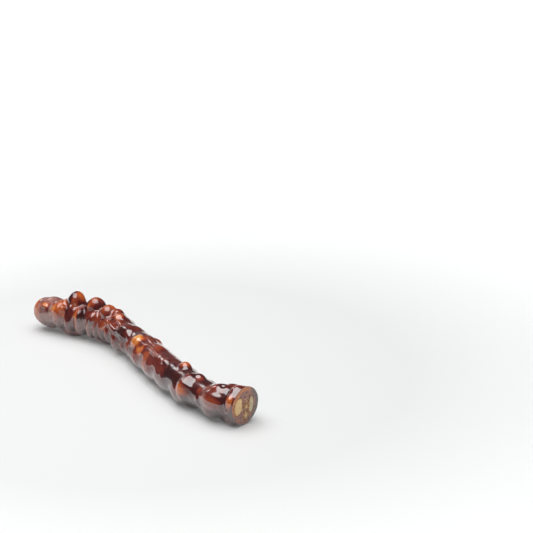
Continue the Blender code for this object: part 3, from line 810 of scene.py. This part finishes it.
def walnutMaterial():
    # brown skin, and on the cut: flesh painted as a lit copy on the near row and a shaded copy on the far
    # row, soaked towards its edge by distance + noise
    material, tree, surface = newMaterial("walnutKernel")
    patch = noiseOf(tree, *walnutLook["fleshPatches"])
    # painted light and shade: lit flesh on the near row, shaded flesh on the far row, half of each on chips
    # and crumbs
    flesh = mixColours(tree, attributeOf(tree, "fleshLitShare"), ramp(tree, patch, walnutLook["shadedFlesh"]),
                       ramp(tree, patch, walnutLook["litFlesh"]))
    skinTone = ramp(tree, noiseOf(tree, *walnutLook["skinPatches"]), walnutLook["skin"])
    scale, wide, rises = walnutLook["soakedEdge"]
    wander = calc(tree, "MULTIPLY", calc(tree, "SUBTRACT", noiseOf(tree, scale), 0.5), wide)
    edgeShare = calc(tree, "MULTIPLY", calc(tree, "ADD", attributeOf(tree, "fromEdge"), wander), rises)
    edgeShare = calc(tree, "MAXIMUM", calc(tree, "MINIMUM", edgeShare, 1.0), 0.0)
    face = mixColours(tree, edgeShare, walnutLook["soaked"], flesh)
    colour = mixColours(tree, attributeOf(tree, "onFace"), skinTone, face)
    tree.links.new(colour, surface.inputs["Base Color"])
    surface.inputs["Roughness"].default_value = walnutLook["roughness"]
    addBump(tree, surface, *walnutLook["bump"])
    return material


jelly = jellyMaterial()
jellyCoat.data.materials.clear()
jellyCoat.data.materials.append(jelly)
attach(jellyCoat, "root")
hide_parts("jelly_coat")

walnut = walnutMaterial()
for name, piece in kernelPieces.items():
    piece.data.materials.append(walnut)
    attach(piece, "root")
    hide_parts({**rows, **chips}[name]["node"])
walnutCrumbs.data.materials.append(walnut)
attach(walnutCrumbs, "root")
print("pieces placed")

# Floor, lights and camera
studio = {
    "floorSize": 12.0,
    "floorColour": (0.50, 0.505, 0.505),
    "floorRoughness": 0.6,
    "floorGlow": 0.11,
    "farGlow": 1.3,            # added to it further off
    "farGlowFrom": (0.16, 1.2),    # metres from the middle where it starts, and its share per metre
    "softboxSize": (1.05, 0.80),
    "softboxAt": (-0.15, -0.04, 0.80),    # right of, beyond and above the middle, as the viewer sees it
    "softboxRadiance": 2.6,
    "windowSize": (0.16, 0.26),
    "windowAt": (-0.49, 0.69, 0.54),      # the same way
    "windowRadiance": 3.0,
    "fillSize": (3.0, 3.0),    # broad light from above that leaves no reflection
    "fillAt": (0, 0, 1.6),
    "fillRadiance": 1.5,
    "roomRadiance": 0.05,
    "wallRadiance": 0.2,       # paler wall behind and to the left
    "wallFrom": (-0.42, 0.90, 0.10),
    "wallReach": (0.82, 0.99),     # cosines to that direction at its outline and inside it
    "viewTurn": 48.8,          # degrees that the viewer stands round from the front
    "viewDown": 18.484,
    "viewFrom": (0.72299, -0.53397, 0.36488),
    "lens": 108.07,            # mm, on a sensor 36 mm wide
}


def makeFloor():
    # a square, with a glow that rises with the distance from its middle up to its full share
    half = studio["floorSize"] / 2
    corners = [(-half, -half, 0), (half, -half, 0), (half, half, 0), (-half, half, 0)]
    mesh = bpy.data.meshes.new("floor")
    mesh.from_pydata(corners, [], [(0, 1, 2, 3)])
    floor = bpy.data.objects.new("floor", mesh)
    bpy.context.scene.collection.objects.link(floor)
    material, tree, surface = newMaterial("paleFloor")
    surface.inputs["Base Color"].default_value = (*studio["floorColour"], 1)
    surface.inputs["Roughness"].default_value = studio["floorRoughness"]
    surface.inputs["Emission Color"].default_value = (1, 1, 1, 1)
    where = addNode(tree, "ShaderNodeTexCoord")
    distance = addNode(tree, "ShaderNodeVectorMath", operation="LENGTH")
    tree.links.new(where.outputs["Object"], distance.inputs[0])
    starts, rises = studio["farGlowFrom"]
    share = calc(tree, "MULTIPLY", calc(tree, "SUBTRACT", distance.outputs["Value"], starts), rises)
    share = calc(tree, "MINIMUM", calc(tree, "MAXIMUM", share, 0.0), 1.0)
    glow = calc(tree, "ADD", calc(tree, "MULTIPLY", share, studio["farGlow"]), studio["floorGlow"])
    tree.links.new(glow, surface.inputs["Emission Strength"])
    mesh.materials.append(material)


def areaLight(name, size, radiance, place):
    # a lit rectangle of that radiance, power = radiance x pi x area, turned to face the middle of the table
    light = bpy.data.lights.new(name, "AREA")
    light.shape = "RECTANGLE"
    light.size, light.size_y = size
    light.energy = radiance * math.pi * size[0] * size[1]
    lamp = bpy.data.objects.new(name, light)
    lamp.location = place
    lamp.rotation_euler = (Vector() - Vector(place)).to_track_quat("-Z", "Y").to_euler()
    bpy.context.scene.collection.objects.link(lamp)
    return lamp


def fromView(right, away, up):
    # a place given to the right of, beyond and above the middle of the table, turned as the viewer is
    c, s = math.cos(math.radians(studio["viewTurn"])), math.sin(math.radians(studio["viewTurn"]))
    return right * c - away * s, right * s + away * c, up


def makeLights():
    # softbox, window and fill; the room's strength is a smooth step of how nearly a direction faces the wall
    softboxPlace, windowPlace = (fromView(*studio[name]) for name in ("softboxAt", "windowAt"))
    softbox = areaLight("softbox", studio["softboxSize"], studio["softboxRadiance"], softboxPlace)
    softbox.data.shape = "ELLIPSE"
    areaLight("window", studio["windowSize"], studio["windowRadiance"], windowPlace)
    fill = areaLight("fill", studio["fillSize"], studio["fillRadiance"], studio["fillAt"])
    fill.visible_glossy = False
    world = bpy.data.worlds.new("room")
    world.use_nodes = True
    tree = world.node_tree
    tree.nodes["Background"].inputs["Color"].default_value = (1, 1, 1, 1)
    where = addNode(tree, "ShaderNodeTexCoord")
    facing = addNode(tree, "ShaderNodeVectorMath", operation="DOT_PRODUCT")
    facing.inputs[1].default_value = fromView(*studio["wallFrom"])
    tree.links.new(where.outputs["Generated"], facing.inputs[0])
    reach = addNode(tree, "ShaderNodeMapRange", interpolation_type="SMOOTHSTEP")
    limits = (*studio["wallReach"], studio["roomRadiance"], studio["wallRadiance"])
    for socket, value in zip(reach.inputs[1:5], limits):
        socket.default_value = value
    tree.links.new(facing.outputs["Value"], reach.inputs[0])
    seen = addNode(tree, "ShaderNodeLightPath").outputs["Is Camera Ray"]  # white where it is looked at
    strength = calc(tree, "MAXIMUM", reach.outputs[0], seen)
    tree.links.new(strength, tree.nodes["Background"].inputs["Strength"])
    bpy.context.scene.world = world


def makeCamera():
    # at its place, tilted down and turned round as the viewer is
    data = bpy.data.cameras.new("viewer")
    data.sensor_width = 36.0
    data.lens = studio["lens"]
    viewer = bpy.data.objects.new("viewer", data)
    turn = Matrix.Rotation(math.radians(studio["viewTurn"]), 4, "Z")
    tilt = Matrix.Rotation(math.radians(90 - studio["viewDown"]), 4, "X")
    viewer.matrix_world = Matrix.Translation(Vector(studio["viewFrom"])) @ turn @ tilt
    data.clip_end = 50
    bpy.context.scene.collection.objects.link(viewer)
    bpy.context.scene.camera = viewer


makeFloor()
makeLights()
makeCamera()
print("studio ready")
